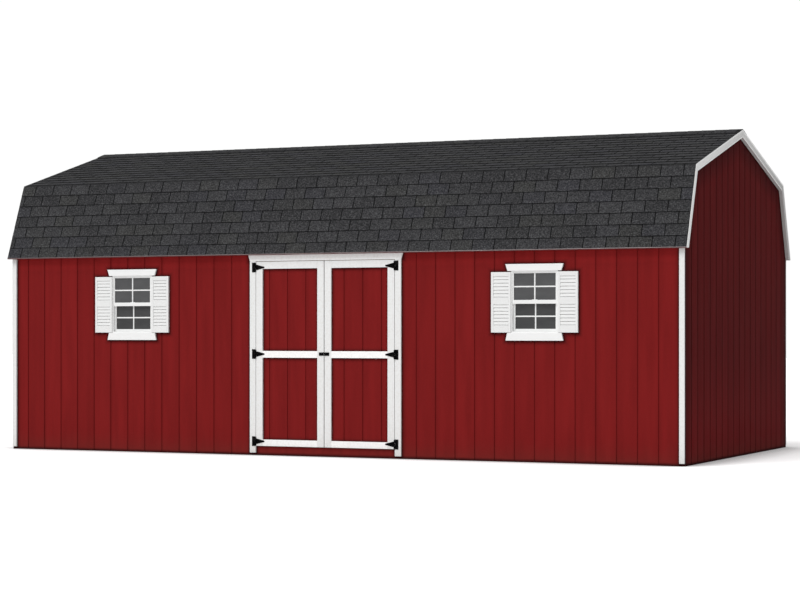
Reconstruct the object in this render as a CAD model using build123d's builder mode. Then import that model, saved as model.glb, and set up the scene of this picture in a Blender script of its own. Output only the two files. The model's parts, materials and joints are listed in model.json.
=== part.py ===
import os
from math import atan2, ceil, cos, sin, tan

from build123d import *

# Red gambrel barn shed, in millimetres. The origin is on the ground under the middle of the building.
# +X runs along the long walls, the double door faces -Y, and +Z is up.

# Shell
siding_length = 7347.0
siding_depth = 3658.0
siding_thickness = 16.0
trim_thickness = 19.0
seat_gap = 0.3

# Floor
joist_height = 89.0
joist_width = 38.0
joist_pitch = 609.6
deck_thickness = 16.0

# Roof, to the tops of the shingles
eave_reach = 64.0
eave_height = 2000.0
knee_inset = 241.0
knee_height = 2782.0
ridge_height = 3234.0
gable_reach = 36.0
shingle_butt = 8.0
shingle_head = 3.0
course_exposure = 120.0
roof_deck_thickness = 11.0
cap_width = 150.0
cap_thickness = 8.0
rake_setback = 1.5
upper_rake_width = 65.0
lower_rake_width = 62.0
rake_joint = 0.5
soffit_thickness = 4.0
soffit_setback = 3.0

# Wall framing
stud_depth = 89.0
stud_width = 38.0
plate_rise = 34.0
rafter_depth = 89.0
rafter_count = 13
rear_stud_count = 13
gable_stud_pitch = 609.6
gable_stud_count = 5
ridge_board_width = 19.0
ridge_board_height = 140.0
gusset_thickness = 12.0
gusset_outer_leg = 230.0
gusset_inner_leg = 45.0
frame_joint = 0.5

# Corner trim
corner_trim_width = 50.0
trim_bottom = 25.0

# Double door
door_opening = 1529.0
door_head_drop = 64.0
door_gap = 5.0
meeting_gap = 8.0
leaf_stile_width = 72.0
top_rail_height = 72.0
middle_rail_height = 67.0
middle_rail_centre = 1007.5
bottom_rail_height = 64.0
jamb_trim_width = 66.0
header_flare = 16.5
stop_width = 19.0
stop_depth = 38.0

# Strap hinges
lower_hinge_height = 140.0
middle_hinge_height = 1010.0
upper_hinge_drop = 62.0
hinge_standoff = 6.0
barrel_radius = 5.5
pin_radius = 2.5
pin_clearance = 0.1
pin_inset = 4.0
plate_thickness = 3.0
jamb_plate_width = 35.0
jamb_plate_height = 96.0
strap_length = 92.0
strap_root_height = 55.0
strap_tip_radius = 7.5
strap_barrel_height = 28.0
barrel_end_gap = 0.4
barrel_relief = 1.2

# Latch
latch_height = 33.0
latch_half_width = 52.0
latch_centre = 1012.0
latch_barrel_radius = 8.0
latch_barrel_length = 41.6

# Windows
window_from_end = 1465.5
window_width = 470.0
window_height = 585.0
window_head_drop = 193.0
window_proud = 12.0
window_frame_depth = 66.0
window_frame_border = 12.0
upper_sash_stile = 12.0
lower_sash_stile = 20.0
sash_depth = 20.0
sash_setback = 6.0
sash_gap = 1.0
upper_sash_top_rail = 11.0
lower_sash_bottom_rail = 25.0
meeting_rail_rise = 274.0
meeting_rail_height = 36.0
pane_thickness = 3.0
window_head_height = 65.0
window_head_foot_width = 541.0
window_head_top_width = 583.0
window_sill_height = 74.0
window_sill_top_width = 546.0
window_sill_foot_width = 581.0

# Shutters
shutter_width = 201.0
shutter_rise = 2.0
shutter_height = 573.0
shutter_thickness = 22.0
shutter_stile = 24.0
shutter_top_rail = 40.0
shutter_middle_rail = 76.0
shutter_middle_rail_rise = 265.0
shutter_bottom_rail = 70.0
louvre_pitch = 32.0
louvre_blade = 33.0
louvre_thickness = 5.0
louvre_tilt = 60.0
shutter_gap = 1.0

# Worked out from the sizes above
half_length = siding_length / 2
half_depth = siding_depth / 2
window_centre = half_length - window_from_end
inner_depth = half_depth - siding_thickness
inner_length = half_length - siding_thickness
eave_half = half_depth + eave_reach
knee_half = half_depth - knee_inset
lower_pitch = atan2(knee_height - eave_height, eave_half - knee_half)
upper_pitch = atan2(ridge_height - knee_height, knee_half)
roof_under = shingle_butt + roof_deck_thickness
rafter_under = roof_under + rafter_depth
floor_top = joist_height + deck_thickness
plate_top = eave_height + plate_rise
stud_top = plate_top - stud_width
roof_half_length = half_length + gable_reach
rake_half_length = roof_half_length - rake_setback
trim_face = half_depth + trim_thickness
hinge_axis_y = trim_face + hinge_standoff
hinge_axis_x = door_opening / 2 - door_gap / 2
door_top = eave_height - door_head_drop
hinge_heights = (lower_hinge_height, middle_hinge_height, door_top - upper_hinge_drop)
leaf_bottom = joist_height + door_gap
leaf_top = door_top - door_gap
leaf_outer = door_opening / 2 - door_gap
leaf_inner = meeting_gap / 2
leaf_width = leaf_outer - leaf_inner
trim_top = eave_height - soffit_thickness
window_top = eave_height - window_head_drop
window_bottom = window_top - window_height
meeting_rail_bottom = window_bottom + meeting_rail_rise
shutter_bottom = window_bottom + shutter_rise
shutter_middle_rail_bottom = shutter_bottom + shutter_middle_rail_rise
sides = {"left": -1, "right": 1}

os.makedirs("parts", exist_ok=True)


def save_piece(piece, name):
    piece.part.label = name
    export_step(piece.part, f"parts/{name}.step")


def lower_height(reach, drop):
    # Height of the lower slope, this far below the shingle tops, at this distance from the ridge line.
    return eave_height + (eave_half - reach) * tan(lower_pitch) - drop / cos(lower_pitch)


def upper_height(reach, drop):
    return ridge_height - reach * tan(upper_pitch) - drop / cos(upper_pitch)


def lower_reach(height, drop):
    return eave_half - (height - eave_height + drop / cos(lower_pitch)) / tan(lower_pitch)


def knee_point(lower_drop, upper_drop):
    # Where the two slopes cross, each taken this far below the shingle tops.
    rise = lower_height(0, lower_drop) - upper_height(0, upper_drop)
    reach = rise / (tan(lower_pitch) - tan(upper_pitch))
    return (reach, upper_height(reach, upper_drop))


def ridge_point(drop):
    return (0, upper_height(0, drop))


def facing(points, front):
    # Roof profiles are worked out for the rear slope and mirrored for the front one.
    return [(-reach if front else reach, height) for reach, height in points]


def bar_along_x(points, x_start, x_end):
    # A bar with this outline in the YZ plane, between two places along X.
    with BuildSketch(Plane.YZ.offset(x_start)) as outline:
        with BuildLine():
            Polyline(points, close=True)
        make_face()
    extrude(outline.sketch, amount=x_end - x_start)


def board(x_range, y_range, z_range):
    with BuildSketch(Plane.XY.offset(z_range[0])) as footprint:
        with Locations(((x_range[0] + x_range[1]) / 2, (y_range[0] + y_range[1]) / 2)):
            Rectangle(x_range[1] - x_range[0], y_range[1] - y_range[0])
    extrude(footprint.sketch, amount=z_range[1] - z_range[0])


def spaced(first, last, count):
    step = (last - first) / (count - 1)
    return [first + step * index for index in range(count)]


def opening_rectangle(centre_x, width, z_bottom, z_top, mode=Mode.ADD):
    with Locations((centre_x, (z_bottom + z_top) / 2)):
        Rectangle(width, z_top - z_bottom, mode=mode)


def flared_board(centre_x, foot_width, top_width, z_bottom, z_top):
    with BuildSketch(Plane.XZ.offset(half_depth)) as outline:
        with BuildLine():
            Polyline(
                (centre_x - foot_width / 2, z_bottom),
                (centre_x + foot_width / 2, z_bottom),
                (centre_x + top_width / 2, z_top),
                (centre_x - top_width / 2, z_top),
                close=True,
            )
        make_face()
    extrude(outline.sketch, amount=trim_thickness)


# Floor: long rim joists on the ground, cross joists between them and a plywood deck on top
with BuildPart() as floor_frame:
    for sign in sides.values():
        near, far = sorted((sign * (inner_depth - joist_width), sign * inner_depth))
        board((-inner_length, inner_length), (near, far), (0, joist_height))
    joist_bays = ceil(2 * inner_length / joist_pitch)
    joist_reach = inner_depth - joist_width - frame_joint
    for centre in spaced(-inner_length + joist_width / 2, inner_length - joist_width / 2, joist_bays + 1):
        board(
            (centre - joist_width / 2, centre + joist_width / 2),
            (-joist_reach, joist_reach),
            (0, joist_height),
        )
save_piece(floor_frame, "floor_frame")

with BuildPart() as floor_deck:
    board((-inner_length, inner_length), (door_gap - inner_depth, inner_depth), (joist_height, floor_top))
save_piece(floor_deck, "floor_deck")

# Siding. The long walls run to the corners and the gable walls stand between them.
long_wall_top = lower_height(half_depth, roof_under) - seat_gap
for side, sign in sides.items():
    wall_end = sign * half_length
    door_edge = sign * door_opening / 2
    with BuildPart() as front_wall:
        with BuildSketch(Plane.XZ.offset(inner_depth)):
            with Locations(((wall_end + door_edge) / 2, long_wall_top / 2)):
                Rectangle(abs(wall_end - door_edge), long_wall_top)
            with Locations((sign * window_centre, (window_bottom + window_top) / 2)):
                Rectangle(window_width, window_top - window_bottom, mode=Mode.SUBTRACT)
        extrude(amount=siding_thickness)
    save_piece(front_wall, f"front_wall_{side}")

with BuildPart() as front_wall_over_door:
    board((-door_opening / 2, door_opening / 2), (-half_depth, -inner_depth), (door_top, long_wall_top))
save_piece(front_wall_over_door, "front_wall_over_door")

with BuildPart() as door_sill:
    board((-door_opening / 2, door_opening / 2), (-half_depth, -inner_depth), (0, joist_height))
save_piece(door_sill, "door_sill")

with BuildPart() as rear_wall:
    board((-half_length, half_length), (inner_depth, half_depth), (0, long_wall_top))
save_piece(rear_wall, "rear_wall")

gable_outline = [
    (inner_depth, 0),
    (inner_depth, lower_height(inner_depth, roof_under) - seat_gap),
    knee_point(roof_under + seat_gap, roof_under + seat_gap),
    ridge_point(roof_under + seat_gap),
]
for side, sign in sides.items():
    near, far = sorted((sign * inner_length, sign * half_length))
    with BuildPart() as gable_wall:
        bar_along_x(gable_outline + facing(gable_outline[-2::-1], True), near, far)
    save_piece(gable_wall, f"gable_wall_{side}")

# Wall framing
stud_foot = floor_top + stud_width
rear_stud_range = (inner_depth - stud_depth, inner_depth)
front_stud_range = (-inner_depth, -inner_depth + stud_depth)
with BuildPart() as wall_plates:
    for sign in sides.values():
        near, far = sorted((sign * door_opening / 2, sign * inner_length))
        board((near, far), front_stud_range, (floor_top, stud_foot))
        gable_near, gable_far = sorted((sign * (inner_length - stud_depth), sign * inner_length))
        plate_half = inner_depth - stud_depth - frame_joint
        board((gable_near, gable_far), (-plate_half, plate_half), (floor_top, stud_foot))
    board((-inner_length, inner_length), rear_stud_range, (floor_top, stud_foot))
    board((-inner_length, inner_length), rear_stud_range, (stud_top, plate_top))
    board((-inner_length, inner_length), front_stud_range, (stud_top, plate_top))
save_piece(wall_plates, "wall_plates")

with BuildPart() as door_header:
    board((-door_opening / 2, door_opening / 2), front_stud_range, (door_top, stud_top))
save_piece(door_header, "door_header")

trimmer_offset = window_width / 2 + stud_width / 2
front_studs_x = [
    door_opening / 2 + stud_width / 2,
    (door_opening / 2 + window_centre - trimmer_offset) / 2,
    window_centre - trimmer_offset,
    window_centre + trimmer_offset,
    (inner_length + window_centre + trimmer_offset) / 2,
    inner_length - stud_width / 2,
]
with BuildPart() as front_studs:
    for sign in sides.values():
        for stud_x in front_studs_x:
            centre = sign * stud_x
            stud_span = (centre - stud_width / 2, centre + stud_width / 2)
            board(stud_span, front_stud_range, (stud_foot, stud_top))
save_piece(front_studs, "front_studs")

with BuildPart() as rear_studs:
    for centre in spaced(-inner_length + stud_width / 2, inner_length - stud_width / 2, rear_stud_count):
        board((centre - stud_width / 2, centre + stud_width / 2), rear_stud_range, (stud_foot, stud_top))
save_piece(rear_studs, "rear_studs")

gable_span = gable_stud_pitch * (gable_stud_count - 1)
board_half = ridge_board_width / 2
ridge_board_top = upper_height(board_half, roof_under)
ridge_board_foot = ridge_board_top - ridge_board_height
for side, sign in sides.items():
    near, far = sorted((sign * (inner_length - stud_depth), sign * inner_length))
    with BuildPart() as gable_studs:
        for centre in spaced(-gable_span / 2, gable_span / 2, gable_stud_count):
            stud_head = upper_height(abs(centre) + stud_width / 2, rafter_under)
            if abs(centre) < board_half + stud_width / 2:
                stud_head = min(stud_head, ridge_board_foot)
            board((near, far), (centre - stud_width / 2, centre + stud_width / 2), (stud_foot, stud_head))
    save_piece(gable_studs, f"gable_studs_{side}")

# Window framing: a sill and a head between the trimmer studs.
with BuildPart() as window_framing:
    for sign in sides.values():
        centre = sign * window_centre
        span = (centre - window_width / 2, centre + window_width / 2)
        board(span, front_stud_range, (window_bottom - stud_width, window_bottom))
        board(span, front_stud_range, (window_top, window_top + stud_width))
save_piece(window_framing, "window_framing")

# Door stops behind the leaves
with BuildPart() as door_stops:
    stop_range = (-inner_depth + door_gap, -inner_depth + door_gap + stop_depth)
    for sign in sides.values():
        near, far = sorted((sign * (door_opening / 2 - stop_width), sign * door_opening / 2))
        board((near, far), stop_range, (floor_top, door_top))
    head_half = door_opening / 2 - stop_width - frame_joint
    board((-head_half, head_half), stop_range, (door_top - stop_width, door_top))
save_piece(door_stops, "door_stops")

# Roof framing: lower and upper rafters at each frame, a ridge board between the upper ones.
rafter_places = spaced(-inner_length + stud_width / 2, inner_length - stud_width / 2, rafter_count)
lower_rafter_outline = [
    (inner_depth, plate_top),
    (inner_depth, lower_height(inner_depth, roof_under)),
    knee_point(roof_under, roof_under),
    knee_point(rafter_under, rafter_under),
    (lower_reach(plate_top, rafter_under), plate_top),
]
upper_rafter_outline = [
    knee_point(roof_under, roof_under),
    (board_half, upper_height(board_half, roof_under)),
    (board_half, upper_height(board_half, rafter_under)),
    knee_point(rafter_under, rafter_under),
]
for name, outline in (("lower_rafters", lower_rafter_outline), ("upper_rafters", upper_rafter_outline)):
    with BuildPart() as rafters:
        for front in (True, False):
            for centre in rafter_places:
                bar_along_x(facing(outline, front), centre - stud_width / 2, centre + stud_width / 2)
    save_piece(rafters, name)

with BuildPart() as ridge_board:
    board((-inner_length, inner_length), (-board_half, board_half), (ridge_board_foot, ridge_board_top))
save_piece(ridge_board, "ridge_board")


def past_knee(drop, pitch, leg):
    # A point on the knee's side of a slope, this far down it, or up it where the leg is negative.
    reach, height = knee_point(drop, drop)
    return (reach + leg * cos(pitch), height - leg * sin(pitch))


# Plywood gussets at the knees, on the side of each frame that faces the middle of the building
gusset_outline = [
    past_knee(roof_under, lower_pitch, gusset_outer_leg),
    knee_point(roof_under, roof_under),
    past_knee(roof_under, upper_pitch, -gusset_outer_leg),
    past_knee(rafter_under, upper_pitch, -gusset_inner_leg),
    past_knee(rafter_under, lower_pitch, gusset_inner_leg),
]
with BuildPart() as knee_gussets:
    for front in (True, False):
        for centre in rafter_places:
            inward = -1 if centre > 0 else 1
            face = centre + inward * stud_width / 2
            near, far = sorted((face, face + inward * gusset_thickness))
            bar_along_x(facing(gusset_outline, front), near, far)
save_piece(knee_gussets, "knee_gussets")

# Roof sheathing, cut level at the eaves and open by a hair at the ridge
lower_deck_outline = [
    (lower_reach(eave_height, shingle_butt), eave_height),
    knee_point(shingle_butt, shingle_butt),
    knee_point(roof_under, roof_under),
    (lower_reach(eave_height, roof_under), eave_height),
]
upper_deck_outline = [
    knee_point(shingle_butt, shingle_butt),
    (frame_joint, upper_height(frame_joint, shingle_butt)),
    (frame_joint, upper_height(frame_joint, roof_under)),
    knee_point(roof_under, roof_under),
]
for name, outline in (("lower_roof_deck", lower_deck_outline), ("upper_roof_deck", upper_deck_outline)):
    with BuildPart() as roof_deck:
        for front in (True, False):
            bar_along_x(facing(outline, front), -half_length, half_length)
    save_piece(roof_deck, name)


def course_points(start, end, pitch):
    # Stepped tops of the shingle courses from the foot of a slope to its head.
    length = ((end[0] - start[0]) ** 2 + (end[1] - start[1]) ** 2) ** 0.5
    along = ((end[0] - start[0]) / length, (end[1] - start[1]) / length)
    sunk = shingle_butt - shingle_head
    points = []
    for course in range(ceil(length / course_exposure)):
        foot = course * course_exposure
        head = min(foot + course_exposure, length)
        points.append((start[0] + along[0] * foot, start[1] + along[1] * foot))
        points.append(
            (
                start[0] + along[0] * head - sin(pitch) * sunk,
                start[1] + along[1] * head - cos(pitch) * sunk,
            )
        )
    return points


# Shingles: stepped courses on each side of the ridge, over the sheathing and the rake boards
shingle_outline = (
    course_points((eave_half, eave_height), (knee_half, knee_height), lower_pitch)[:-1]
    + course_points((knee_half, knee_height), (0, ridge_height), upper_pitch)[:-1]
    + [
        ridge_point(shingle_butt - shingle_head),
        ridge_point(shingle_butt),
        knee_point(shingle_butt, shingle_butt),
        (lower_reach(eave_height, shingle_butt), eave_height),
    ]
)
for name, front in (("shingles_front", True), ("shingles_rear", False)):
    with BuildPart() as shingles:
        bar_along_x(facing(shingle_outline, front), -roof_half_length, roof_half_length)
    save_piece(shingles, name)

with BuildPart() as ridge_cap:
    cap_foot = cap_width * cos(upper_pitch)
    cap_half_outline = [
        (cap_foot, upper_height(cap_foot, 0)),
        (cap_foot, upper_height(cap_foot, -cap_thickness)),
    ]
    cap_outline = (
        cap_half_outline
        + [ridge_point(-cap_thickness)]
        + facing(cap_half_outline[::-1], True)
        + [ridge_point(0)]
    )
    bar_along_x(cap_outline, -roof_half_length, roof_half_length)
save_piece(ridge_cap, "ridge_cap")

# Rake boards: four mitred boards on each gable, against the siding and the edge of the sheathing
lower_rake_under = shingle_butt + lower_rake_width
upper_rake_under = shingle_butt + upper_rake_width
knee_top = knee_point(shingle_butt, shingle_butt)
knee_under = knee_point(lower_rake_under, upper_rake_under)
lower_rake_outline = [
    (lower_reach(eave_height, shingle_butt), eave_height),
    (knee_top[0], knee_top[1] - rake_joint),
    (knee_under[0], knee_under[1] - rake_joint),
    (lower_reach(eave_height, lower_rake_under), eave_height),
]
upper_rake_outline = [
    knee_top,
    (rake_joint, upper_height(rake_joint, shingle_butt)),
    (rake_joint, upper_height(rake_joint, upper_rake_under)),
    knee_under,
]
for side, sign in sides.items():
    near, far = sorted((sign * half_length, sign * rake_half_length))
    with BuildPart() as rake_trim:
        for outline in (lower_rake_outline, upper_rake_outline):
            for front in (True, False):
                bar_along_x(facing(outline, front), near, far)
    save_piece(rake_trim, f"rake_trim_{side}")

# Level metal soffits that close the eaves and form the drip edge
with BuildPart() as eave_trim:
    for sign in sides.values():
        near, far = sorted((sign * half_depth, sign * (eave_half - soffit_setback)))
        board((-rake_half_length, rake_half_length), (near, far), (trim_top, eave_height))
save_piece(eave_trim, "eave_trim")

# Corner trim on the long walls
for name, wall_side in (("corner_trim_front", -1), ("corner_trim_rear", 1)):
    with BuildPart() as corner_trim:
        near, far = sorted((wall_side * half_depth, wall_side * trim_face))
        for sign in sides.values():
            inner, outer = sorted((sign * (half_length - corner_trim_width), sign * half_length))
            board((inner, outer), (near, far), (trim_bottom, trim_top))
    save_piece(corner_trim, name)

# Door casing
for side, sign in sides.items():
    with BuildPart() as jamb_trim:
        near, far = sorted((sign * door_opening / 2, sign * (door_opening / 2 + jamb_trim_width)))
        board((near, far), (-trim_face, -half_depth), (trim_bottom, door_top))
    save_piece(jamb_trim, f"jamb_trim_{side}")

header_foot_width = door_opening + 2 * jamb_trim_width
with BuildPart() as header_trim:
    flared_board(0, header_foot_width, header_foot_width + 2 * header_flare, door_top, trim_top)
save_piece(header_trim, "header_trim")

# Windows: frame with a flared head and sill, two sashes one behind the other, and their panes
window_face = half_depth + window_proud
frame_back = window_face - window_frame_depth
upper_sash_back = window_face - sash_setback - sash_depth
lower_sash_back = upper_sash_back - sash_gap - sash_depth
meeting_rail_top = meeting_rail_bottom + meeting_rail_height
sash_width = window_width - 2 * window_frame_border
sash_top = window_top - window_frame_border
sash_bottom = window_bottom + window_frame_border
upper_pane_width = sash_width - 2 * upper_sash_stile
lower_pane_width = sash_width - 2 * lower_sash_stile
upper_pane_top = sash_top - upper_sash_top_rail
lower_pane_bottom = sash_bottom + lower_sash_bottom_rail
pane_inset = (sash_depth - pane_thickness) / 2

for side, sign in sides.items():
    centre = sign * window_centre
    with BuildPart() as window_frame:
        with BuildSketch(Plane.XZ.offset(frame_back)):
            opening_rectangle(centre, window_width, window_bottom, window_top)
            opening_rectangle(centre, sash_width, sash_bottom, sash_top, Mode.SUBTRACT)
        extrude(amount=window_frame_depth)
        flared_board(
            centre, window_head_foot_width, window_head_top_width, window_top, window_top + window_head_height
        )
        flared_board(
            centre,
            window_sill_foot_width,
            window_sill_top_width,
            window_bottom - window_sill_height,
            window_bottom,
        )
    save_piece(window_frame, f"{side}_window_frame")

    with BuildPart() as window_sashes:
        with BuildSketch(Plane.XZ.offset(upper_sash_back)):
            opening_rectangle(centre, sash_width, meeting_rail_bottom, sash_top)
            opening_rectangle(centre, upper_pane_width, meeting_rail_top, upper_pane_top, Mode.SUBTRACT)
        extrude(amount=sash_depth)
        with BuildSketch(Plane.XZ.offset(lower_sash_back)):
            opening_rectangle(centre, sash_width, sash_bottom, meeting_rail_top)
            opening_rectangle(centre, lower_pane_width, lower_pane_bottom, meeting_rail_bottom, Mode.SUBTRACT)
        extrude(amount=sash_depth)
    save_piece(window_sashes, f"{side}_window_sashes")

    with BuildPart() as window_glass:
        with BuildSketch(Plane.XZ.offset(upper_sash_back + pane_inset)):
            opening_rectangle(centre, upper_pane_width, meeting_rail_top, upper_pane_top)
        extrude(amount=pane_thickness)
        with BuildSketch(Plane.XZ.offset(lower_sash_back + pane_inset)):
            opening_rectangle(centre, lower_pane_width, lower_pane_bottom, meeting_rail_bottom)
        extrude(amount=pane_thickness)
    save_piece(window_glass, f"{side}_window_glass")

# Shutters: a framed pair beside each window, with tilted louvres between the rails
shutter_top = shutter_bottom + shutter_height
middle_rail_top = shutter_middle_rail_bottom + shutter_middle_rail
louvre_fields = (
    (shutter_bottom + shutter_bottom_rail, shutter_middle_rail_bottom),
    (middle_rail_top, shutter_top - shutter_top_rail),
)
louvre_length = shutter_width - shutter_stile
for side, sign in sides.items():
    with BuildPart() as shutters:
        for hand in (-1, 1):
            centre = sign * window_centre + hand * (window_width / 2 + shutter_gap + shutter_width / 2)
            with BuildSketch(Plane.XZ.offset(half_depth)):
                opening_rectangle(centre, shutter_width, shutter_bottom, shutter_top)
                for field_bottom, field_top in louvre_fields:
                    opening_rectangle(
                        centre, shutter_width - 2 * shutter_stile, field_bottom, field_top, Mode.SUBTRACT
                    )
            extrude(amount=shutter_thickness)
            for field_bottom, field_top in louvre_fields:
                louvre_count = round((field_top - field_bottom) / louvre_pitch)
                pitch = (field_top - field_bottom) / louvre_count
                with BuildSketch(Plane.YZ.offset(centre - louvre_length / 2)):
                    for louvre in range(louvre_count):
                        louvre_z = field_bottom + pitch * (louvre + 0.5)
                        with Locations((-half_depth - shutter_thickness / 2, louvre_z)):
                            Rectangle(louvre_blade, louvre_thickness, rotation=louvre_tilt)
                extrude(amount=louvre_length)
    save_piece(shutters, f"{side}_shutters")

# Door leaves: a siding panel with white stiles and rails on its face
middle_rail_bottom = middle_rail_centre - middle_rail_height / 2
leaf_fields = (
    (leaf_bottom + bottom_rail_height, middle_rail_bottom),
    (middle_rail_bottom + middle_rail_height, leaf_top - top_rail_height),
)
field_width = leaf_width - 2 * leaf_stile_width
strap_clear = barrel_radius + barrel_relief
pin_length = jamb_plate_height - 2 * pin_inset
for side, sign in sides.items():
    leaf_centre = sign * (leaf_outer + leaf_inner) / 2
    with BuildPart() as door_panel:
        with BuildSketch(Plane.XZ.offset(inner_depth)):
            opening_rectangle(leaf_centre, leaf_width, leaf_bottom, leaf_top)
        extrude(amount=siding_thickness)
    save_piece(door_panel, f"{side}_door_panel")

    with BuildPart() as door_frame:
        with BuildSketch(Plane.XZ.offset(half_depth)):
            opening_rectangle(leaf_centre, leaf_width, leaf_bottom, leaf_top)
            for field_bottom, field_top in leaf_fields:
                opening_rectangle(leaf_centre, field_width, field_bottom, field_top, Mode.SUBTRACT)
        extrude(amount=trim_thickness)
    save_piece(door_frame, f"{side}_door_frame")

    axis_x = sign * hinge_axis_x
    with BuildPart() as hinge_plates:
        for hinge_z in hinge_heights:
            with BuildSketch(Plane.XZ.offset(trim_face)):
                plate_start = axis_x + sign * strap_clear
                opening_rectangle(
                    plate_start + sign * jamb_plate_width / 2,
                    jamb_plate_width,
                    hinge_z - jamb_plate_height / 2,
                    hinge_z + jamb_plate_height / 2,
                )
                for end in (-1, 1):
                    knuckle_near = hinge_z + end * (strap_barrel_height / 2 + barrel_end_gap)
                    knuckle_far = hinge_z + end * pin_length / 2
                    opening_rectangle(
                        axis_x + sign * strap_clear / 2 + sign * barrel_relief,
                        strap_clear + barrel_relief,
                        min(knuckle_near, knuckle_far),
                        max(knuckle_near, knuckle_far),
                    )
            extrude(amount=plate_thickness)
            for end in (-1, 1):
                knuckle_near = hinge_z + end * (strap_barrel_height / 2 + barrel_end_gap)
                with BuildSketch(Plane.XY.offset(knuckle_near)):
                    with Locations((axis_x, -hinge_axis_y)):
                        Circle(barrel_radius)
                extrude(amount=end * (pin_length / 2 - strap_barrel_height / 2 - barrel_end_gap))
            with BuildSketch(Plane.XY.offset(hinge_z - pin_length / 2)):
                with Locations((axis_x, -hinge_axis_y)):
                    Circle(pin_radius)
            extrude(amount=pin_length)
    save_piece(hinge_plates, f"{side}_hinge_plates")

    with BuildPart() as door_hardware:
        for hinge_z in hinge_heights:
            strap_start = axis_x - sign * strap_clear
            strap_end = strap_start - sign * strap_length
            with BuildSketch(Plane.XZ.offset(trim_face)):
                with BuildLine():
                    Polyline(
                        (strap_start, hinge_z - strap_root_height / 2),
                        (strap_end + sign * strap_tip_radius, hinge_z - strap_tip_radius),
                        (strap_end + sign * strap_tip_radius, hinge_z + strap_tip_radius),
                        (strap_start, hinge_z + strap_root_height / 2),
                        close=True,
                    )
                make_face()
                with Locations((strap_end + sign * strap_tip_radius, hinge_z)):
                    Circle(strap_tip_radius)
                opening_rectangle(
                    axis_x - sign * (strap_clear + pin_radius) / 2,
                    strap_clear + pin_radius,
                    hinge_z - strap_barrel_height / 2,
                    hinge_z + strap_barrel_height / 2,
                )
            extrude(amount=plate_thickness)
            with BuildSketch(Plane.XY.offset(hinge_z - strap_barrel_height / 2)):
                with Locations((axis_x, -hinge_axis_y)):
                    Circle(barrel_radius)
            extrude(amount=strap_barrel_height)
            with BuildSketch(Plane.XY.offset(hinge_z - strap_barrel_height / 2)):
                with Locations((axis_x, -hinge_axis_y)):
                    Circle(pin_radius + pin_clearance)
            extrude(amount=strap_barrel_height, mode=Mode.SUBTRACT)
        with BuildSketch(Plane.XZ.offset(trim_face)):
            opening_rectangle(
                sign * (leaf_inner + latch_half_width / 2),
                latch_half_width,
                latch_centre - latch_height / 2,
                latch_centre + latch_height / 2,
            )
        extrude(amount=plate_thickness)
        with BuildSketch(Plane.YZ.offset(sign * leaf_inner)):
            with Locations((-trim_face - plate_thickness, latch_centre)):
                Circle(latch_barrel_radius)
                Rectangle(
                    2 * latch_barrel_radius,
                    2 * latch_barrel_radius,
                    align=(Align.MIN, Align.CENTER),
                    mode=Mode.SUBTRACT,
                )
        extrude(amount=sign * latch_barrel_length)
    save_piece(door_hardware, f"{side}_door_hardware")
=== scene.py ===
import json
import math
import random

import bmesh
import bpy
from mathutils import Matrix, Vector


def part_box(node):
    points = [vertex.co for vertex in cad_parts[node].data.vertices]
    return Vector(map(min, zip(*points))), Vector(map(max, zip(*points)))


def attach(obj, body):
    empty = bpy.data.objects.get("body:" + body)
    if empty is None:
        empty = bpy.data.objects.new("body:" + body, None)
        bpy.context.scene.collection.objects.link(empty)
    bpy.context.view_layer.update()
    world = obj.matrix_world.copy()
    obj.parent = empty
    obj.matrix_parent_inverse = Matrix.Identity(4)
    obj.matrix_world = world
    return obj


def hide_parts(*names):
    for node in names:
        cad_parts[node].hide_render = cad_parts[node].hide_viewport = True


# Red gambrel barn shed: siding, shingles, trim, windows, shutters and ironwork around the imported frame
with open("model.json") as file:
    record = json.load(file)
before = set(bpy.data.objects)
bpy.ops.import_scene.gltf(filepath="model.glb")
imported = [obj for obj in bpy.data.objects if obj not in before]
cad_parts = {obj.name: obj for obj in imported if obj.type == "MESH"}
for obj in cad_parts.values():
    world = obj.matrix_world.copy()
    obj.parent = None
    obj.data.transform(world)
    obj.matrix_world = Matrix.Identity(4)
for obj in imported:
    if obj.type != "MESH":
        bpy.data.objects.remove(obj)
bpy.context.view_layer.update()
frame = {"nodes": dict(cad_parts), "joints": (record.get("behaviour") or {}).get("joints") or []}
random.seed(24)
sides = (("left", -1), ("right", 1))
print("frame loaded:", len(frame["nodes"]), "nodes")


# Camera and light

view = {
    "place": (9.446, -20.724, 1.225),
    "turn": 24.557,
    "lens": 96.5,
    "horizonShift": 0.0406,
}
studio = {
    "floorSize": 160.0,
    "floorColour": (0.9, 0.9, 0.9),
    "floorGlow": 0.4,
    "contactReach": 0.45,
    "skyStrength": 0.46,
    "skySeen": 1.02,
    "keyStrength": 2.25,
    "keyTilt": 36.0,
    "keyTurn": -25.0,
    "keySoftness": 35.0,
}


def addObject(name, data):
    holder = bpy.data.objects.new(name, data)
    bpy.context.scene.collection.objects.link(holder)
    return holder


def addCamera():
    camera = bpy.data.cameras.new("camera")
    camera.lens = view["lens"]
    camera.shift_y = view["horizonShift"]
    camera.clip_end = 500
    holder = addObject("camera", camera)
    holder.location = view["place"]
    holder.rotation_euler = (math.radians(90), 0, math.radians(view["turn"]))
    bpy.context.scene.camera = holder


def addLights():
    world = bpy.data.worlds.new("paleRoom")
    world.use_nodes = True
    background = world.node_tree.nodes["Background"]
    background.inputs["Color"].default_value = (1, 1, 1, 1)
    path = addNode(world.node_tree, "ShaderNodeLightPath").outputs["Is Camera Ray"]
    strength = remap(path, 0.0, 1.0, studio["skyStrength"], studio["skySeen"])
    feed(background.inputs["Strength"], strength)
    bpy.context.scene.world = world
    key = bpy.data.lights.new("key", "SUN")
    key.energy = studio["keyStrength"]
    key.angle = math.radians(studio["keySoftness"])
    holder = addObject("key", key)
    holder.rotation_euler = (math.radians(studio["keyTilt"]), 0, math.radians(studio["keyTurn"]))


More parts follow.
